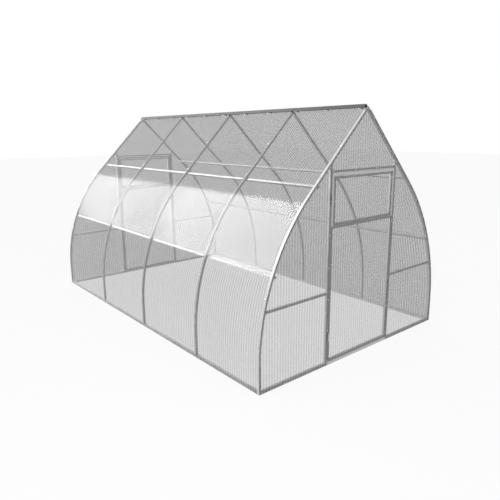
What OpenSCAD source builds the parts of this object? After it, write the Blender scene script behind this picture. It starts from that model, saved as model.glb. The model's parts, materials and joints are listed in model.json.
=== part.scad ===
// Drop-shaped greenhouse: bent square-tube arches, clad in twin-wall sheet.
// X runs across the width, Y along the length, Z up; the front end faces -Y.

/* [Overall] */
// Width over the side sheets
width = 2440; // [2000:10:3000]
// Length over the end sheets
length = 3980; // [3300:10:4800]
// Height of the roof sheets at the ridge
ridge_h = 2220; // [1850:10:2700]
// Height of the upright foot of each side wall, below the bend
foot_h = 240; // [150:10:300]
// Slope of the roof, in degrees
roof_pitch = 45; // [40:1:50]

/* [Tubes] */
// Side of the square tube of the arches, posts, rails and door frames
tube = 20; // [16:1:30]
// Side of the square tube of the purlins
purlin = 20; // [15:1:25]
// Height of the base rails and sills
base_h = 30; // [24:1:60]

/* [Arches and purlins] */
// Arches between the two end ones
inner_arches = 3; // [2:1:5]
// From the rear end to the first inner arch's centre
rear_bay = 1080; // [800:10:1300]
// From the front end to the last inner arch's centre
front_bay = 900; // [700:10:1100]
// From the ridge down to the upper purlins
upper_purlin_drop = 610; // [450:10:700]
// Height of the lower purlins
lower_purlin_h = 945; // [700:5:1150]
// Height of the end walls' middle rails
middle_rail_h = 670; // [500:5:850]

/* [Sheets] */
// Thickness of the twin-wall sheet
sheet = 4; // [3:0.5:6]
// Sealing tape between a sheet and the tube behind it
tape = 1; // [0.5:0.5:2]
// Clearance of a sheet's lower edge from the ground
sheet_lift = 5; // [3:1:15]
// Joint between two sheets
sheet_joint = 2; // [1:0.5:5]

/* [Ridge cap] */
// Width of each of the cap's two flanges
cap_flange = 42; // [30:1:70]
// Height of the cap's down-turned lips
cap_lip = 11; // [6:1:20]
// Thickness of the cap's metal
cap_metal = 1.5; // [1:0.5:3]

/* [Doors] */
// Clear width between the door posts
door_w = 855; // [720:5:1030]
// Gap round a door leaf and round its vent
gap = 5; // [5:1:8]
// From the arch down to the header, at a post's outer edge
header_drop = 30; // [5:1:60]
// Height of the vent in the top of each door
vent_h = 405; // [300:5:480]

/* [Hinges] */
// Outer radius of a hinge knuckle
knuckle_r = 7; // [6:0.5:9]
// Radius of a hinge pin
pin_r = 4; // [3:0.5:5]
// Radial clearance of a pin in its knuckle
pin_play = 0.1; // [0.05:0.05:0.2]
// Height of one knuckle
knuckle_h = 35; // [25:1:50]
// Thickness of the plate that carries a knuckle
hinge_plate = 2; // [1.5:0.5:3]
// Height of the lower hinge above a leaf's lower edge
low_hinge = 200; // [120:10:300]
// Depth of the upper hinge below a leaf's upper edge
high_hinge = 180; // [120:10:300]
// Radius of the knuckles on top of a vent
vent_knuckle_r = 4; // [3:0.5:5]
// Length of a vent hinge
vent_hinge_w = 50; // [30:5:70]
// Distance of a vent hinge from the vent's side edge
vent_hinge_in = 90; // [50:10:150]

/* [Hidden] */
$fn = 64;

half_w = width / 2;
half_l = length / 2;
// The bend runs from the upright foot, at angle 0, to the roof slope, at bend_a.
bend_a = 90 - roof_pitch;
rise = tan(roof_pitch);
bend_r = (ridge_h - foot_h - half_w * rise) / (sin(bend_a) - (1 - cos(bend_a)) * rise);
bend_x = half_w - bend_r;
bend_top = foot_h + bend_r * sin(bend_a);

frame_in = sheet + tape;          // depth of the frame's outer face below the sheets' outer face
arch_in = frame_in + tube;        // depth of the arches' inner face
frame_y = half_l - frame_in;      // outer face of an end frame, from the centre
seat = 0.2;                       // clearance of a flat purlin from the hollow side of a bend

arch_pitch = (length - rear_bay - front_bay) / (inner_arches - 1);
arch_y = [
    frame_y - tube / 2,
    for (i = [0:inner_arches - 1]) half_l - rear_bay - i * arch_pitch,
    -frame_y + tube / 2
];
joint_y = arch_y[round((inner_arches + 1) / 2)];   // the two side sheets meet on this arch

post_in = door_w / 2;
post_out = post_in + tube;
header_top = ridge_h - arch_in / sin(bend_a) - post_out * rise - header_drop;
header_low = header_top - tube;
leaf_out = post_in - gap;
leaf_low = base_h + gap;
leaf_top = header_low - gap;
vent_out = leaf_out - tube - gap;
vent_top = leaf_top - tube - gap;
vent_low = vent_top - vent_h;
transom_top = vent_low - gap;

play = 1;                         // clearance of a knuckle from the sheet and from the next knuckle
hinge_x = -(post_in - gap / 2);
hinge_y = -(half_l + knuckle_r + play);
hinge_z = [leaf_low + low_hinge, leaf_top - high_hinge - 2 * knuckle_h - play];

ARCHES = len(arch_y);

// Height of the roof line over the centre, at a depth below the sheets' outer face.
function peak(depth) = ridge_h - depth / sin(bend_a);

// Direction of the wall's outward normal above the horizontal, at a height on its outer face.
function lean(z) = z <= foot_h ? 0 : z >= bend_top ? bend_a : asin((z - foot_h) / bend_r);

// Distance of the wall's outer face from the centre, at a height.
function wall_x(z) = z <= foot_h ? half_w
    : z >= bend_top ? (ridge_h - z) / rise
    : bend_x + bend_r * cos(lean(z));

// The right half of the cross-section at a depth below the sheets' outer face, run on past the
// centre line and below the ground so that it can be cut.
module section(depth) {
    beyond = 100;
    r = bend_r - depth;
    far = 2 * bend_r;
    polygon([
        [-beyond, -beyond],
        [half_w - depth, -beyond],
        [half_w - depth, foot_h],
        [bend_x + r * cos(bend_a), foot_h + r * sin(bend_a)],
        [-beyond, peak(depth) + beyond * rise]
    ]);
    intersection() {
        translate([bend_x, foot_h]) circle(r);
        translate([bend_x, foot_h])
            polygon([[0, 0], [far, 0], [far, far * tan(bend_a)]]);
    }
}

// A strip of the right half of the cross-section between two depths, above a height.
module strip(outer, inner, low) {
    intersection() {
        difference() {
            section(outer);
            section(inner);
        }
        translate([0, low]) square([half_w, ridge_h]);
    }
}

// Stands a drawing of the cross-section up and gives it a thickness towards +Y from y.
module across(y, thickness) {
    translate([0, y + thickness, 0]) rotate([90, 0, 0]) linear_extrude(thickness) children();
}

// Turns what is drawn for the front end round to the rear end.
module rear() {
    rotate([0, 0, 180]) children();
}

module base_rail() {
    color("darkgray")
        translate([half_w - frame_in - tube, -frame_y, 0])
        cube([tube, 2 * frame_y, base_h]);
}

module sill() {
    inside = half_w - arch_in;
    color("darkgray") translate([-inside, -frame_y, 0]) cube([2 * inside, tube, base_h]);
}

// The right half of an arch: one tube, bent from its upright foot to the ridge.
module half_arch(y) {
    color("silver") across(y - tube / 2, tube) strip(frame_in, arch_in, base_h);
}

// A purlin lies on the inner side of the arches, square to the wall there.
module side_purlin(z) {
    color("silver")
        across(-frame_y, 2 * frame_y)
        translate([wall_x(z), z])
        rotate(lean(z))
        translate([-arch_in - seat - purlin, -purlin / 2])
        square(purlin);
}

// One flange of the ridge cap, in section, with its depth measured outwards from the sheets.
module cap_half(lift, reach) {
    top = peak(-lift);
    down = [cos(roof_pitch), -sin(roof_pitch)];
    out = [sin(roof_pitch), cos(roof_pitch)];
    polygon([
        [0, top],
        [0, top] + reach * down,
        [0, top] + reach * down - (lift - tape) * out,
        [0, peak(-tape)]
    ]);
}

module ridge_cap() {
    reach = cap_flange;
    color("dimgray")
        across(-frame_y + tube, 2 * frame_y - tube)
        for (side = [0, 1]) mirror([side, 0]) difference() {
            cap_half(cap_lip, reach);
            translate([0, -0.01]) cap_half(cap_lip - cap_metal, reach - cap_metal);
        }
}

// A post stands on the sill and is cut to the slope of the arch above it.
module post(hinged) {
    color("silver") {
        across(-frame_y, tube) intersection() {
            translate([post_in, base_h]) square([tube, ridge_h]);
            section(arch_in);
        }
        if (hinged) for (z = hinge_z) mirror([1, 0, 0]) hinge_half(z, -1);
    }
}

// One knuckle with its plate: side -1 is on the post and holds the pin, side 1 is on the leaf.
module hinge_half(z, side) {
    low = side < 0 ? z : z + knuckle_h + play;
    plate_x = hinge_x + (side < 0 ? -gap / 2 : gap / 2 - hinge_plate);
    bore_r = pin_r + pin_play;
    difference() {
        union() {
            translate([hinge_x, hinge_y, low]) cylinder(r = knuckle_r, h = knuckle_h);
            translate([plate_x, hinge_y, low])
                cube([hinge_plate, -frame_y + tube - gap - hinge_y, knuckle_h]);
        }
        if (side > 0)
            translate([hinge_x, hinge_y, low - play]) cylinder(r = bore_r, h = knuckle_h + 2 * play);
    }
    if (side < 0)
        translate([hinge_x, hinge_y, low]) cylinder(r = pin_r, h = 2 * knuckle_h + play);
}

module header() {
    color("silver")
        translate([-post_in, -frame_y, header_low])
        cube([door_w, tube, tube]);
}

module middle_rails() {
    color("silver")
        for (side = [0, 1]) mirror([side, 0, 0])
            across(-frame_y, tube) intersection() {
                translate([post_out, middle_rail_h - tube / 2]) square([half_w, tube]);
                section(arch_in);
            }
}

// A side sheet, from one end of the greenhouse to the arch where the two meet.
module side_sheet(from_y, to_y) {
    color("whitesmoke", 0.4)
        across(from_y, to_y - from_y)
        strip(0, sheet, sheet_lift);
}

module end_panel(from_x, to_x, low) {
    color("whitesmoke", 0.4)
        across(-half_l, sheet)
        intersection() {
            translate([from_x, low]) square([to_x - from_x, ridge_h]);
            section(frame_in);
        }
}

module side_panel() {
    end_panel(post_in, half_w, sheet_lift);
}

module gable_panel() {
    for (side = [0, 1]) mirror([side, 0, 0])
        end_panel(0, post_in - sheet_joint, header_low);
}

// A rectangular frame of square tube, standing in the plane of the end frame.
module tube_frame(out_x, low, top) {
    translate([0, -frame_y, 0]) difference() {
        translate([-out_x, 0, low]) cube([2 * out_x, tube, top - low]);
        translate([-out_x + tube, -1, low + tube])
            cube([2 * (out_x - tube), tube + 2, top - low - 2 * tube]);
    }
}

module flat_panel(out_x, low, top) {
    color("whitesmoke", 0.4)
        translate([-out_x, -half_l, low])
        cube([2 * out_x, sheet, top - low]);
}

module door_frame() {
    color("silver") {
        tube_frame(leaf_out, leaf_low, leaf_top);
        translate([-leaf_out + tube, -frame_y, transom_top - tube])
            cube([2 * (leaf_out - tube), tube, tube]);
        for (z = hinge_z) hinge_half(z, 1);
    }
}

module door_panel() {
    flat_panel(leaf_out, leaf_low, transom_top);
}

// A closed butt hinge fills the gap over a vent, with its knuckle outside.
module vent_hinge(from_x) {
    knuckle_y = -(half_l + vent_knuckle_r + play / 2);
    translate([from_x, knuckle_y, vent_top]) cube([vent_hinge_w, -frame_y + tube - knuckle_y, gap]);
    translate([from_x, knuckle_y, vent_top + gap / 2])
        rotate([0, 90, 0])
        cylinder(r = vent_knuckle_r, h = vent_hinge_w);
}

module vent_frame() {
    color("silver") {
        tube_frame(vent_out, vent_low, vent_top);
        vent_hinge(-vent_out + vent_hinge_in);
        vent_hinge(vent_out - vent_hinge_in - vent_hinge_w);
    }
}

module vent_panel() {
    flat_panel(vent_out, vent_low, vent_top);
}

module left() {
    mirror([1, 0, 0]) children();
}

left() base_rail();  // base_rail_left
base_rail();  // base_rail_right
sill();  // front_sill
rear() sill();  // rear_sill

for (i = [0:ARCHES - 1]) {
    left() half_arch(arch_y[i]);
    half_arch(arch_y[i]);
}

left() side_purlin(ridge_h - upper_purlin_drop);  // upper_purlin_left
side_purlin(ridge_h - upper_purlin_drop);  // upper_purlin_right
left() side_purlin(lower_purlin_h);  // lower_purlin_left
side_purlin(lower_purlin_h);  // lower_purlin_right
ridge_cap();

left() post(true);  // front_left_post
post(false);  // front_right_post
header();  // front_header
middle_rails();  // front_middle_rails
rear() post(false);  // rear_left_post
rear() left() post(true);  // rear_right_post
rear() header();  // rear_header
rear() middle_rails();  // rear_middle_rails

left() side_sheet(-half_l, joint_y - sheet_joint / 2);  // left_sheet_front
left() side_sheet(joint_y + sheet_joint / 2, half_l);  // left_sheet_rear
side_sheet(-half_l, joint_y - sheet_joint / 2);  // right_sheet_front
side_sheet(joint_y + sheet_joint / 2, half_l);  // right_sheet_rear

left() side_panel();  // front_left_panel
side_panel();  // front_right_panel
gable_panel();  // front_gable_panel
rear() side_panel();  // rear_left_panel
rear() left() side_panel();  // rear_right_panel
rear() gable_panel();  // rear_gable_panel

door_frame();  // front_door_frame
door_panel();  // front_door_panel
vent_frame();  // front_vent_frame
vent_panel();  // front_vent_panel
rear() door_frame();  // rear_door_frame
rear() door_panel();  // rear_door_panel
rear() vent_frame();  // rear_vent_frame
rear() vent_panel();  // rear_vent_panel
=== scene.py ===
"""Drop-shaped greenhouse: finishes, sheet webs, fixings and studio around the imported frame."""

import json
import math

import bpy
import numpy as np
from mathutils import Matrix, Vector


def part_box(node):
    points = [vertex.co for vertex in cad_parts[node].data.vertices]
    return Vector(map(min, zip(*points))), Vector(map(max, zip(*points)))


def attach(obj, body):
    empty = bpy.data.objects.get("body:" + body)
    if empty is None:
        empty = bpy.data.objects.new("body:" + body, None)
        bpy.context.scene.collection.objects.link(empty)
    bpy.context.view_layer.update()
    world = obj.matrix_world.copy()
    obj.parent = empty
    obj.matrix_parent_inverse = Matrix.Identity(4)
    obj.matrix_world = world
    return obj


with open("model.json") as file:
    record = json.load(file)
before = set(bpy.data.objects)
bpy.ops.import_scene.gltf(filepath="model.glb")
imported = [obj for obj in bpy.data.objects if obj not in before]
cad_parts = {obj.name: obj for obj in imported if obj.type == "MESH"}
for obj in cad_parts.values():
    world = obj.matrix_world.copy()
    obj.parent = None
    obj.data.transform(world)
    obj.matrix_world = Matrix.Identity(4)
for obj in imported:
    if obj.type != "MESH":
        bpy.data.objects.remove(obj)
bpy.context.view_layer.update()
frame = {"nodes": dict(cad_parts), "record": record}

bl_info = {
    "name": "Drop Greenhouse",
    "version": (1, 0, 0),
    "blender": (4, 5, 0),
    "location": "3D View > Sidebar > Greenhouse",
    "description": "Finishes a drop-shaped greenhouse with webbed sheet, fixings and a plain studio",
    "category": "Object",
}

BODY_OF = {n: body for body, names in frame["record"]["behaviour"]["bodies"].items() for n in names}
SIDES = {"left": -1, "right": 1}
ENDS = {"front": -1, "rear": 1}


# ---- sizes read from the frame ---------------------------------------------------------------

def corner(node, high):
    """Lowest or highest corner of a CAD node, as a numpy array."""
    return np.array(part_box(node)[1 if high else 0])


HALF_W = float(corner("right_sheet_front", True)[0])
HALF_L = float(corner("right_sheet_rear", True)[1])
RIDGE_H = float(corner("right_sheet_front", True)[2])
SHEET = float(np.ptp([corner("front_left_panel", False)[1], corner("front_left_panel", True)[1]]))
SHEET_LOW = float(corner("right_sheet_front", False)[2])
FRAME_Y = float(corner("rear_header", True)[1])
TUBE = float(corner("rear_header", True)[1] - corner("rear_header", False)[1])
FRAME_IN = HALF_L - FRAME_Y
BASE_H = float(corner("front_sill", True)[2])
POST_IN = float(corner("front_right_post", False)[0])
HEADER_LOW = float(corner("front_header", False)[2])
HEADER_TOP = float(corner("front_header", True)[2])
RAIL_LOW = float(corner("front_middle_rails", False)[2])
RAIL_TOP = float(corner("front_middle_rails", True)[2])
ARCH_Y = [float((corner(f"arch_{i}_left", False) + corner(f"arch_{i}_left", True))[1] / 2) for i in range(1, 6)]


# ---- the cross-section -----------------------------------------------------------------------

class Shape:
    """The section's bend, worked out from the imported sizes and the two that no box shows."""

    def __init__(self, foot_h, roof_pitch):
        self.foot_h = foot_h
        self.bend_a = math.pi / 2 - roof_pitch
        self.rise = math.tan(roof_pitch)
        drop = RIDGE_H - foot_h - HALF_W * self.rise
        self.bend_r = drop / (math.sin(self.bend_a) - (1 - math.cos(self.bend_a)) * self.rise)
        self.bend_x = HALF_W - self.bend_r
        self.bend_top = foot_h + self.bend_r * math.sin(self.bend_a)

    def at_height(self, z, depth=0.0):
        """Point and outward normal on the right half at heights z of the outer face.

        Below the bend the normal is level, in the bend its slope is the arcsine of the height
        over the radius, and above it stays at the roof's; the point lies depth under the face.
        """
        z = np.asarray(z, float)
        a = np.arcsin(np.clip((z - self.foot_h) / self.bend_r, 0, math.sin(self.bend_a)))
        a = np.where(z >= self.bend_top, self.bend_a, a)
        in_bend = self.bend_x + self.bend_r * np.cos(a)
        x = np.where(z <= self.foot_h, HALF_W, np.where(z >= self.bend_top, (RIDGE_H - z) / self.rise, in_bend))
        normal = np.stack([np.cos(a), np.sin(a)], -1)
        return np.stack([x, z], -1) - depth * normal, normal

    def inside_x(self, z, depth):
        """Half width at height z of the section drawn in by depth: the inset bend's or roof's."""
        r = self.bend_r - depth
        if z <= self.foot_h:
            return HALF_W - depth
        if z >= self.foot_h + r * math.sin(self.bend_a):
            return (RIDGE_H - depth / math.sin(self.bend_a) - z) / self.rise
        return self.bend_x + r * math.sqrt(1 - ((z - self.foot_h) / r) ** 2)

    def inside_z(self, x, depth):
        """Height of the inset section at distance x from the centre: the inverse of inside_x."""
        r = self.bend_r - depth
        if x <= self.bend_x + r * math.cos(self.bend_a):
            return RIDGE_H - depth / math.sin(self.bend_a) - x * self.rise
        return self.foot_h + math.sqrt(max(r ** 2 - (x - self.bend_x) ** 2, 0))

    def path(self, low, stop=0.0, steps=14):
        """Right half from height low to within stop of the ridge, and its outward normals.

        A straight foot, then equal angles round the bend's centre, then the straight slope.
        """
        a = np.linspace(0, self.bend_a, steps + 1)
        bend = np.stack([self.bend_x + self.bend_r * np.cos(a), self.foot_h + self.bend_r * np.sin(a)], 1)
        top = np.array([[0.0, RIDGE_H]]) + stop * np.array([[math.sin(self.bend_a), -math.cos(self.bend_a)]])
        points = np.concatenate([[[HALF_W, low]], bend, top])
        lean = np.concatenate([[0.0], a, [self.bend_a]])
        return points, np.stack([np.cos(lean), np.sin(lean)], 1)


# ---- mesh building ---------------------------------------------------------------------------

def tube_faces(count, rings, sides):
    """Quads and end caps of count tubes, each of rings rings of sides points, as index lists."""
    start = np.arange(count)[:, None, None] * rings * sides
    ring = start + np.arange(rings - 1)[None, :, None] * sides
    k = np.arange(sides)[None, None, :]
    k2 = (k + 1) % sides
    quads = np.stack([ring + k, ring + k2, ring + sides + k2, ring + sides + k], -1).reshape(-1, 4)
    first = start[:, 0, 0][:, None] + np.arange(sides)[::-1]
    last = start[:, 0, 0][:, None] + (rings - 1) * sides + np.arange(sides)
    return quads.tolist() + first.tolist() + last.tolist()


def outward(rings):
    """Each tube's rings with their points' order turned where its signed volume is negative.

    The volume is a sixth of the sum of the corners' triple products over the side faces, taken
    from the tube's own centre, which is enough to tell which way round it runs.
    """
    centre = rings.mean(axis=(1, 2), keepdims=True)
    p = rings - centre
    a, b = p[:, :-1], np.roll(p[:, :-1], -1, axis=2)
    c = np.roll(p[:, 1:], -1, axis=2)
    d = p[:, 1:]
    volume = (np.cross(a, b) * c).sum(-1).sum((1, 2)) + (np.cross(a, c) * d).sum(-1).sum((1, 2))
    turned = rings[:, :, ::-1]
    return np.where((volume < 0)[:, None, None, None], turned, rings)


def piece(name, parts, body, material, smooth=False):
    """One object out of arrays of tubes, each shaped (tubes, rings, points of a ring, 3)."""
    verts, faces, base = [], [], 0
    for rings in parts:
        rings = outward(np.asarray(rings, float))
        count, n, k = rings.shape[:3]
        faces += [[i + base for i in f] for f in tube_faces(count, n, k)]
        verts.append(rings.reshape(-1, 3))
        base += count * n * k
    mesh = bpy.data.meshes.new(name)
    mesh.from_pydata(np.concatenate(verts).tolist(), [], faces)
    mesh.update()
    if smooth:
        mesh.shade_smooth()
        mesh.set_sharp_from_angle(angle=math.radians(35))
    obj = bpy.data.objects.new(name, mesh)
    bpy.context.scene.collection.objects.link(obj)
    mesh.materials.append(material)
    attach(obj, body)
    return obj


def boxes(low, high):
    """Boxes between rows of low and high corners, as tubes of two square rings."""
    low, high = np.atleast_2d(low).astype(float), np.atleast_2d(high).astype(float)
    x, y, z = (np.stack([low[:, i], high[:, i]], 1) for i in range(3))
    order = [(0, 0), (1, 0), (1, 1), (0, 1)]
    ring = [[np.stack([x[:, i], y[:, j], z[:, k]], -1) for i, j in order] for k in (0, 1)]
    return np.stack([np.stack(r, 1) for r in ring], 1)


def lathe(places, normals, profile, sides):
    """Round studs: profile rows (height, radius) swept about each normal at each place.

    A ring point is the place plus the height along the normal plus the radius times the cosine
    and sine of its angle along two directions square to the normal.
    """
    n = normals / np.linalg.norm(normals, axis=1, keepdims=True)
    helper = np.where(np.abs(n[:, 2:]) > 0.9, [[1.0, 0, 0]], [[0, 0, 1.0]])
    u = np.cross(helper, n)
    u /= np.linalg.norm(u, axis=1, keepdims=True)
    v = np.cross(n, u)
    t = np.arange(sides) * 2 * math.pi / sides
    h, r = np.array(profile, float).T
    round_ = np.cos(t)[None, :, None] * u[:, None] + np.sin(t)[None, :, None] * v[:, None]
    centre = places[:, None] + h[None, :, None] * n[:, None]
    return centre[:, :, None] + r[None, :, None, None] * round_[:, None]


def along(path, normals, ys, width, outer, inner, side):
    """Strips that follow the section: a flat bar of given width in Y, between two depths.

    Each ring is the path's point less the outer or inner depth along its normal, at Y less or
    plus half the width, and the whole is mirrored for the left side.
    """
    out, in_ = path - outer * normals, path - inner * normals
    ys = np.atleast_1d(ys)
    rings = []
    for q, sign in ((out, -1), (out, 1), (in_, 1), (in_, -1)):
        y = np.broadcast_to(ys[:, None] + sign * width / 2, (len(ys), len(path)))
        x = np.broadcast_to(side * q[None, :, 0], y.shape)
        z = np.broadcast_to(q[None, :, 1], y.shape)
        rings.append(np.stack([x, y, z], -1))
    return np.stack(rings, 2)


# ---- shader maths ----------------------------------------------------------------------------

class Value:
    """A number socket that adds Math nodes when it is used in an expression."""

    def __init__(self, nodes, socket):
        self.nodes, self.socket = nodes, socket

    def _math(self, operation, a, b):
        return Value(self.nodes, self.nodes.add("ShaderNodeMath", {"operation": operation}, {0: a, 1: b}).outputs[0])

    def __add__(self, other):
        return self._math("ADD", self, other)

    def __sub__(self, other):
        return self._math("SUBTRACT", self, other)

    def __rsub__(self, other):
        return self._math("SUBTRACT", other, self)

    def __mul__(self, other):
        return self._math("MULTIPLY", self, other)

    __radd__ = __add__
    __rmul__ = __mul__


class Nodes:
    """A material's or world's node tree, emptied, with one method that adds a node."""

    def __init__(self, owner):
        owner.use_nodes = True
        self.tree = owner.node_tree
        self.tree.nodes.clear()

    def add(self, kind, settings=None, sockets=None):
        node = self.tree.nodes.new(kind)
        for key, value in (settings or {}).items():
            setattr(node, key, value)
        for key, value in (sockets or {}).items():
            self.feed(node.inputs[key], value)
        return node

    def feed(self, socket, value):
        if isinstance(value, Value):
            value = value.socket
        if isinstance(value, bpy.types.NodeSocket):
            self.tree.links.new(value, socket)
        else:
            socket.default_value = value

    def value(self, kind, settings=None, sockets=None, output=0):
        return Value(self, self.add(kind, settings, sockets).outputs[output])

    def position(self):
        return self.add("ShaderNodeTexCoord").outputs["Object"]

    def axes(self, vector):
        split = self.add("ShaderNodeSeparateXYZ", None, {0: vector})
        return [Value(self, split.outputs[i]) for i in range(3)]

    def grain(self, vector, scale, detail=3.0, stretch=(1, 1, 1)):
        """Noise from 0 to 1 on the object's own coordinates, stretched along its axes."""
        place = self.add("ShaderNodeMapping", None, {"Vector": vector, "Scale": stretch})
        noise = {"Vector": place.outputs[0], "Scale": scale, "Detail": detail}
        return self.value("ShaderNodeTexNoise", None, noise)

    def mix_colour(self, factor, a, b):
        node = self.add("ShaderNodeMix", {"data_type": "RGBA"})
        self.feed(node.inputs["Factor"], factor)
        self.feed(node.inputs[6], a)
        self.feed(node.inputs[7], b)
        return node.outputs[2]

    def bump(self, height, distance, strength=1.0):
        sockets = {"Height": height, "Distance": distance, "Strength": strength}
        return self.add("ShaderNodeBump", None, sockets).outputs[0]

    def surface(self, shader):
        self.add("ShaderNodeOutputMaterial", None, {"Surface": shader})

    def principled(self, **sockets):
        names = {key.replace("_", " "): value for key, value in sockets.items()}
        return self.add("ShaderNodeBsdfPrincipled", None, names).outputs[0]


def grey(level):
    return (level, level, level, 1.0)


def new_material(name):
    material = bpy.data.materials.new(name)
    return material, Nodes(material)


# ---- materials -------------------------------------------------------------------------------

def galvanised(name, light, dark):
    """Dull zinc: a cell pattern for the spangle, cloudy streaks, and a fine rolled grain."""
    material, n = new_material(name)
    p = n.position()
    spangle = n.value("ShaderNodeTexVoronoi", None, {"Vector": p, "Scale": 90.0, "Randomness": 1.0}, output=0)
    cloud = n.grain(p, 5.0, 4.0)
    fine = n.grain(p, 260.0, 2.0, (1, 0.15, 0.15))
    tone = spangle * 0.35 + cloud * 0.5 + fine * 0.15
    colour = n.mix_colour(tone, grey(dark), grey(light))
    rough = 0.56 + spangle * 0.12 + cloud * 0.1
    normal = n.bump(spangle * 0.4 + fine * 0.6, 0.0002, 0.35)
    n.surface(n.principled(Base_Color=colour, Roughness=rough, Metallic=0.75, Normal=normal))
    return material


def sheet_plastic(name, level, alpha, rough):
    """Clear glossy plastic with a little cloudiness in its tone, density and gloss."""
    material, n = new_material(name)
    p = n.position()
    cloud = n.grain(p, 1.3, 3.0)
    dust = n.grain(p, 14.0, 4.0)
    colour = n.mix_colour(cloud, grey(level * 0.8), grey(level * 1.2))
    haze = alpha * (1.0 + (cloud - 0.5) * 0.2 + (dust - 0.5) * 0.1)
    gloss = rough + (dust - 0.5) * 0.05
    n.surface(n.principled(Base_Color=colour, Roughness=gloss, Alpha=haze, IOR=1.59))
    return material


def web_plastic(name, level, alpha):
    """The webs inside the sheet: the same plastic seen edge on, so denser."""
    material, n = new_material(name)
    cloud = n.grain(n.position(), 3.0, 2.0)
    colour = n.mix_colour(cloud, grey(level * 0.85), grey(level * 1.15))
    n.surface(n.principled(Base_Color=colour, Roughness=0.4, Alpha=alpha * (0.9 + cloud * 0.2), Specular_IOR_Level=0.0))
    return material


def plain_finish(name, level, rough, metal, scale):
    """Rubber, plastic or bright zinc: a soft mottle with a fine bump."""
    material, n = new_material(name)
    p = n.position()
    mottle = n.grain(p, scale, 3.0)
    colour = n.mix_colour(mottle, grey(level * 0.85), grey(level * 1.15))
    normal = n.bump(mottle, 0.0002, 0.3)
    n.surface(n.principled(Base_Color=colour, Roughness=rough + (mottle - 0.5) * 0.1, Metallic=metal, Normal=normal))
    return material


def studio_floor(level, lift):
    """White paper: seen directly it glows up to white and keeps part of its shadow."""
    material, n = new_material("studio_floor")
    path = n.add("ShaderNodeLightPath")
    seen = Value(n, path.outputs["Is Camera Ray"]) + Value(n, path.outputs["Is Glossy Ray"])
    seen = seen + Value(n, path.outputs["Is Transmission Ray"])
    matt = n.add("ShaderNodeBsdfDiffuse", None, {"Color": grey(level)}).outputs[0]
    glow = n.add("ShaderNodeEmission", None, {"Color": grey(1.0), "Strength": 1.0}).outputs[0]
    n.surface(n.add("ShaderNodeMixShader", None, {0: seen * lift, 1: matt, 2: glow}).outputs[0])
    return material


# ---- settings --------------------------------------------------------------------------------

class GreenhouseSettings(bpy.types.PropertyGroup):
    """Sizes and finishes of the visible pieces."""

    foot_h: bpy.props.FloatProperty(
        name="Foot height", description="Height of the upright foot of the side walls",
        default=0.24, unit="LENGTH")
    roof_pitch: bpy.props.FloatProperty(
        name="Roof pitch", description="Slope of the straight part of the roof",
        default=math.radians(45), subtype="ANGLE")
    web_pitch: bpy.props.FloatProperty(
        name="Web pitch", description="Distance between the webs of the sheet",
        default=0.030, unit="LENGTH")
    web_thick: bpy.props.FloatProperty(
        name="Flute width", description="Width of the closed flute at each web",
        default=0.013, unit="LENGTH")
    skin: bpy.props.FloatProperty(
        name="Skin", description="Depth of the flutes under either face of the sheet",
        default=0.0009, unit="LENGTH")
    screw_pitch: bpy.props.FloatProperty(
        name="Screw pitch", description="Distance between the screws along a tube",
        default=0.38, unit="LENGTH")
    washer_r: bpy.props.FloatProperty(
        name="Washer radius", description="Radius of a sealing washer",
        default=0.008, unit="LENGTH")
    profile_w: bpy.props.FloatProperty(
        name="Edge profile width", description="Width of the profile at the ends of the side sheets",
        default=0.022, unit="LENGTH")
    zinc_light: bpy.props.FloatProperty(
        name="Zinc, light", description="Lightest tone of the galvanised tube", default=0.66, min=0, max=1)
    zinc_dark: bpy.props.FloatProperty(
        name="Zinc, dark", description="Darkest tone of the galvanised tube", default=0.46, min=0, max=1)
    sheet_level: bpy.props.FloatProperty(
        name="Sheet tone", description="Tone of the sheet's plastic", default=0.08, min=0, max=1)
    sheet_alpha: bpy.props.FloatProperty(
        name="Sheet density", description="How much one face of the sheet covers", default=0.17, min=0, max=1)


def settings():
    return bpy.context.scene.greenhouse


def shape():
    s = settings()
    return Shape(s.foot_h, s.roof_pitch)


def material(name):
    return bpy.data.materials[name]


class Piece(bpy.types.Operator):
    """Base of the operators: each makes its pieces, or raises when it can't."""

    bl_options = {"REGISTER", "UNDO"}

    def execute(self, context):
        self.make(settings())
        return {"FINISHED"}


class MakeFinishes(Piece):
    """Makes every material and puts it on the CAD nodes"""

    bl_idname = "greenhouse.finishes"
    bl_label = "Finishes"

    def make(self, s):
        zinc = galvanised("galvanised_tube", s.zinc_light, s.zinc_dark)
        ridge = galvanised("ridge_metal", s.zinc_light * 0.14, s.zinc_dark * 0.14)
        roof = sheet_plastic("roof_sheet", s.sheet_level, s.sheet_alpha * 1.08, 0.12)
        # The end sheets are the same plastic at four fifths of the roof's tone: a painted shade that darkens the end
        # walls.
        end = sheet_plastic("end_sheet", s.sheet_level * 0.8, s.sheet_alpha * 1.05, 0.15)
        web_plastic("sheet_web", s.sheet_level * 0.5, 0.065)
        plain_finish("zinc_screw", 0.5, 0.35, 0.8, 900.0)
        plain_finish("black_rubber", 0.04, 0.6, 0.0, 400.0)
        plain_finish("sealing_tape", 0.86, 0.7, 0.0, 60.0)
        # The edge profile is a real trim, but its pale tone is also painted light: it stands in for the lit face of the
        # end arch under the sheet's edge.
        plain_finish("edge_profile_painted_light", 0.62, 0.45, 0.0, 25.0)
        skins = {"roof_sheet": roof, "end_sheet": end, "ridge_metal": ridge, "galvanised_tube": zinc}
        for part in frame["record"]["subparts"]:
            node = frame["nodes"][part["node"]]
            node.data.materials.clear()
            node.data.materials.append(skins[part["material_slot"]])


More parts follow.
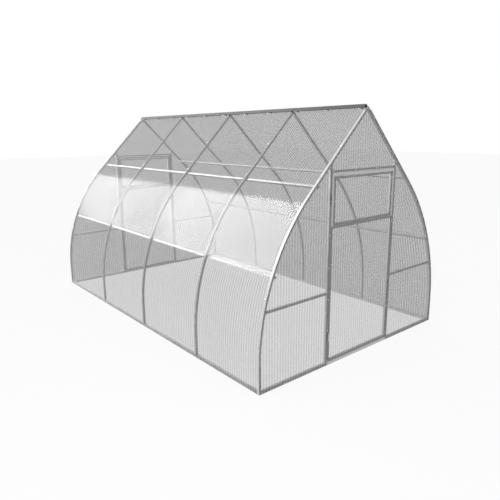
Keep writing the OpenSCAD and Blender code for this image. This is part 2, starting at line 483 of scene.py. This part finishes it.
class MakeSideWebs(Piece):
    """Webs between the two walls of the side sheets, one at every pitch along the length"""

    bl_idname = "greenhouse.side_webs"
    bl_label = "Side sheet webs"

    def make(self, s):
        path, normals = shape().path(SHEET_LOW + s.skin, stop=2 * SHEET)
        for side, sign in SIDES.items():
            for end in ENDS:
                node = f"{side}_sheet_{end}"
                low, high = corner(node, False)[1], corner(node, True)[1]
                ys = np.arange(low + s.web_thick, high - s.web_thick, s.web_pitch)
                ys = np.append(ys, high - s.web_thick)
                rings = along(path, normals, ys, s.web_thick, s.skin, SHEET - s.skin, sign)
                piece(f"{node}_webs", [rings], "root", material("sheet_web"))


def standing_webs(columns, y_low, y_high, thick):
    """Upright boxes: rows (x, low, high) with a given thickness in X, between two Y planes."""
    c = np.array(columns)
    low = np.stack([c[:, 0] - thick / 2, np.full(len(c), y_low), c[:, 1]], 1)
    high = np.stack([c[:, 0] + thick / 2, np.full(len(c), y_high), c[:, 2]], 1)
    return boxes(low, high)


class MakeEndWebs(Piece):
    """Upright webs in the sheets of both ends, the doors and the vents"""

    bl_idname = "greenhouse.end_webs"
    bl_label = "End sheet webs"

    def make(self, s):
        form = shape()
        panels = ("left_panel", "right_panel", "gable_panel", "door_panel", "vent_panel")
        for end, sign in ENDS.items():
            y_a = sign * (HALF_L - s.skin)
            y_b = sign * (HALF_L - SHEET + s.skin)
            for name in panels:
                node = f"{end}_{name}"
                low, high = corner(node, False), corner(node, True)
                xs = np.arange(low[0] + s.web_thick, high[0] - s.web_thick, s.web_pitch)
                xs = np.append(xs, high[0] - s.web_thick)
                reach = [form.inside_z(abs(x) + s.web_thick, FRAME_IN) - s.skin for x in xs]
                columns = [(x, low[2] + s.skin, min(top, high[2] - s.skin)) for x, top in zip(xs, reach)]
                columns = [c for c in columns if c[2] > c[1] + s.web_pitch / 4]
                rings = standing_webs(columns, min(y_a, y_b), max(y_a, y_b), s.web_thick)
                piece(f"{node}_webs", [rings], BODY_OF[node], material("sheet_web"))


def screw_parts(places, normals, washer_r):
    """Sealing washers, domed steel rims and hexagon heads at each place, standing on a face."""
    rubber = [(0.0, washer_r * 0.94), (0.0009, washer_r * 0.98), (0.0012, washer_r * 0.94)]
    steel = [(0.0012, washer_r), (0.0016, washer_r), (0.0024, washer_r * 0.72), (0.0026, washer_r * 0.5)]
    head = [(0.0026, 0.0042), (0.0056, 0.0042), (0.0062, 0.0036)]
    made = [lathe(places, normals, rubber, 14), lathe(places, normals, steel, 14)]
    return made[:1], made[1:] + [lathe(places, normals, head, 6)]


def place_screws(name, places, normals, body):
    """One piece of rubber washers and one of steel screws."""
    rubber, steel = screw_parts(np.array(places, float), np.array(normals, float), settings().washer_r)
    piece(f"{name}_washers", rubber, body, material("black_rubber"), smooth=True)
    piece(f"{name}_screws", steel, body, material("zinc_screw"), smooth=True)


class MakeSideScrews(Piece):
    """Sheet screws with sealing washers over every arch and along the purlins"""

    bl_idname = "greenhouse.side_screws"
    bl_label = "Side sheet screws"

    def make(self, s):
        form = shape()
        first = form.foot_h + 0.16
        bend_run = np.arange(0.0, form.bend_r * form.bend_a, s.screw_pitch) / form.bend_r
        start = math.asin((first - form.foot_h) / form.bend_r)
        heights = [form.foot_h + form.bend_r * math.sin(start + a) for a in bend_run if start + a < form.bend_a]
        slope = np.arange(form.bend_top + 0.1, RIDGE_H - 0.08, s.screw_pitch * math.cos(form.bend_a))
        heights = np.array(heights + slope.tolist())
        points, normals = form.at_height(heights)
        for side, sign in SIDES.items():
            places, facing = [], []
            for y in ARCH_Y:
                for (x, z), (nx, nz) in zip(points, normals):
                    places.append((sign * x, y, z))
                    facing.append((sign * nx, 0, nz))
            place_screws(f"{side}_side", places, facing, "root")


class MakeEndScrews(Piece):
    """Sheet screws round the panels of both ends, over the tube behind each edge"""

    bl_idname = "greenhouse.end_screws"
    bl_label = "End sheet screws"

    def make(self, s):
        form = shape()
        inset = s.washer_r + 0.004
        over_arch = FRAME_IN + TUBE / 2
        for end, sign in ENDS.items():
            for name in ("left_panel", "right_panel", "door_panel", "vent_panel"):
                node = f"{end}_{name}"
                low, high = corner(node, False), corner(node, True)
                spots = []
                for z in np.linspace(low[2] + 0.05, high[2] - 0.05, round((high[2] - low[2]) / s.screw_pitch) + 2):
                    reach = form.inside_x(z, over_arch)
                    left, right = (float(np.clip(x, -reach, reach)) for x in (low[0] + inset, high[0] - inset))
                    spots += [(left, z), (right, z)] if right - left > 0.04 else [(left, z)]
                if name in ("left_panel", "right_panel"):
                    near = min(abs(low[0]), abs(high[0]))
                    rail = (RAIL_LOW + RAIL_TOP) / 2
                    for z in (low[2] + inset, rail):
                        far = form.inside_x(z, over_arch)
                        spots += [(math.copysign(x, low[0] + high[0]), z) for x in np.linspace(near, far, 4)[1:3]]
                self.add(node, spots, sign, BODY_OF[node])
            low = corner(f"{end}_gable_panel", False)
            bottom = max(low[2] + inset, (HEADER_LOW + HEADER_TOP) / 2)
            spots = [(x, bottom) for x in np.linspace(-POST_IN, POST_IN, 4)]
            for z in np.linspace(bottom + 0.12, RIDGE_H - 0.1, 3):
                x = form.inside_x(z, over_arch)
                spots += [(-x, z), (x, z)]
            self.add(f"{end}_gable", spots, sign, "root")

    def add(self, name, spots, sign, body):
        places = [(x, sign * HALF_L, z) for x, z in spots]
        place_screws(name, places, [(0, sign, 0)] * len(places), body)


class MakeRidgeScrews(Piece):
    """Sheet screws along both flanges of the ridge cap"""

    bl_idname = "greenhouse.ridge_screws"
    bl_label = "Ridge screws"

    def make(self, s):
        low, high = corner("ridge_cap", False), corner("ridge_cap", True)
        (x, z), (nx, nz) = shape().at_height(RIDGE_H - 0.021, -0.0015)
        ys = np.linspace(low[1] + 0.06, high[1] - 0.06, round((high[1] - low[1]) / s.screw_pitch) + 1)
        places = [(sign * x, y, z) for sign in SIDES.values() for y in ys]
        place_screws("ridge", places, [(sign * nx, 0, nz) for sign in SIDES.values() for _ in ys], "root")


class MakeEdgeStrips(Piece):
    """Edge profiles at both ends of the side sheets, whose pale tone is partly painted light for the lit end arches,
    and tape between the sheets and the arches
    """

    bl_idname = "greenhouse.edge_strips"
    bl_label = "Edge strips and tape"

    def make(self, s):
        path, normals = shape().path(SHEET_LOW, stop=0.05)
        for side, sign in SIDES.items():
            for end, way in ENDS.items():
                # A pale profile over each end arch; its tone is partly painted light for the arch's lit face.
                strip = along(path, normals, way * (HALF_L - s.profile_w / 2), s.profile_w, -0.001, 0.0, sign)
                piece(f"{side}_{end}_edge_profile", [strip], "root", material("edge_profile_painted_light"))
            tape = along(path, normals, ARCH_Y, TUBE, SHEET + 0.0001, SHEET + 0.0009, sign)
            piece(f"{side}_sealing_tape", [tape], "root", material("sealing_tape"))


class MakeStudio(Piece):
    """Floor, lamps, world and camera"""

    bl_idname = "greenhouse.studio"
    bl_label = "Studio"

    def make(self, s):
        scene = bpy.context.scene
        scene.view_settings.view_transform = "Standard"
        scene.cycles.transparent_max_bounces = 48
        self.floor()
        self.world()
        self.lamps()
        self.camera(scene)

    def floor(self):
        reach = 40.0
        mesh = bpy.data.meshes.new("studio_floor")
        corners = [(-reach, -reach, 0), (reach, -reach, 0), (reach, reach, 0), (-reach, reach, 0)]
        mesh.from_pydata([(x, y, -0.0005) for x, y, _ in corners], [], [(0, 1, 2, 3)])
        obj = bpy.data.objects.new("studio_floor", mesh)
        bpy.context.scene.collection.objects.link(obj)
        mesh.materials.append(studio_floor(0.95, 0.86))

    def world(self):
        world = bpy.data.worlds.new("studio_world")
        bpy.context.scene.world = world
        n = Nodes(world)
        path = n.add("ShaderNodeLightPath")
        seen = Value(n, path.outputs["Is Camera Ray"]) + Value(n, path.outputs["Is Glossy Ray"])
        seen = seen + Value(n, path.outputs["Is Transmission Ray"])
        strength = 0.72 + seen * 0.28
        sky = n.add("ShaderNodeBackground", None, {"Color": grey(1.0), "Strength": strength})
        n.add("ShaderNodeOutputWorld", None, {"Surface": sky.outputs[0]})

    def lamp(self, name, at, aim, size, radiance, gloss_only=False):
        """A rectangular area lamp; its power is pi times its area times its radiance."""
        data = bpy.data.lights.new(name, "AREA")
        data.shape = "RECTANGLE"
        data.size, data.size_y = size
        data.energy = math.pi * size[0] * size[1] * radiance
        obj = bpy.data.objects.new(name, data)
        obj.location = at
        obj.rotation_euler = (Vector(aim) - Vector(at)).to_track_quat("-Z", "Y").to_euler()
        obj.visible_camera = False
        obj.visible_diffuse = not gloss_only
        bpy.context.scene.collection.objects.link(obj)

    def lamps(self):
        """A soft key from the left, and two strips that only show as the side's long highlight."""
        self.lamp("key_softbox", (-3.6, -3.2, 5.2), (0, -0.6, 1.0), (3.0, 3.0), 3.2)
        self.lamp("front_strip", (-2.86, 2.0, 3.3), (0.14, 2.0, 0.3), (5.2, 3.3), 15.0, gloss_only=True)
        self.lamp("rear_strip", (-2.86, 7.0, 3.3), (0.14, 7.0, 0.3), (4.8, 3.3), 9.8, gloss_only=True)

    def camera(self, scene):
        """The view's axes from its heading, its dip and its small roll."""
        heading, dip, roll = 0.6910, 0.2354, -0.0094
        data = bpy.data.cameras.new("view")
        data.sensor_width = 36.0
        data.lens = 35.432
        ahead = Vector((math.sin(heading) * math.cos(dip), math.cos(heading) * math.cos(dip), -math.sin(dip)))
        right = Vector((math.cos(heading), -math.sin(heading), 0))
        up = right.cross(ahead)
        rolled = math.cos(roll) * right + math.sin(roll) * up
        risen = math.cos(roll) * up - math.sin(roll) * right
        turn = Matrix((rolled, risen, -ahead)).transposed()
        obj = bpy.data.objects.new("view", data)
        obj.matrix_world = Matrix.Translation((-3.4872, -4.6363, 2.0147)) @ turn.to_4x4()
        scene.collection.objects.link(obj)
        scene.camera = obj


OPERATORS = (MakeStudio, MakeFinishes, MakeSideWebs, MakeEndWebs, MakeSideScrews, MakeEndScrews,
             MakeRidgeScrews, MakeEdgeStrips)


class GreenhousePanel(bpy.types.Panel):
    """Lists the pieces in the 3D view's sidebar"""

    bl_idname = "VIEW3D_PT_greenhouse"
    bl_label = "Greenhouse"
    bl_space_type = "VIEW_3D"
    bl_region_type = "UI"
    bl_category = "Greenhouse"

    def draw(self, context):
        for operator in OPERATORS:
            self.layout.operator(operator.bl_idname)
        for name in GreenhouseSettings.__annotations__:
            self.layout.prop(context.scene.greenhouse, name)


def register():
    for cls in (GreenhouseSettings, *OPERATORS, GreenhousePanel):
        bpy.utils.register_class(cls)
    bpy.types.Scene.greenhouse = bpy.props.PointerProperty(type=GreenhouseSettings)


def unregister():
    del bpy.types.Scene.greenhouse
    for cls in reversed((GreenhouseSettings, *OPERATORS, GreenhousePanel)):
        bpy.utils.unregister_class(cls)


def main():
    register()
    for operator in OPERATORS:
        name = operator.bl_idname.split(".")[1]
        getattr(bpy.ops.greenhouse, name)()


if __name__ == "__main__":
    main()
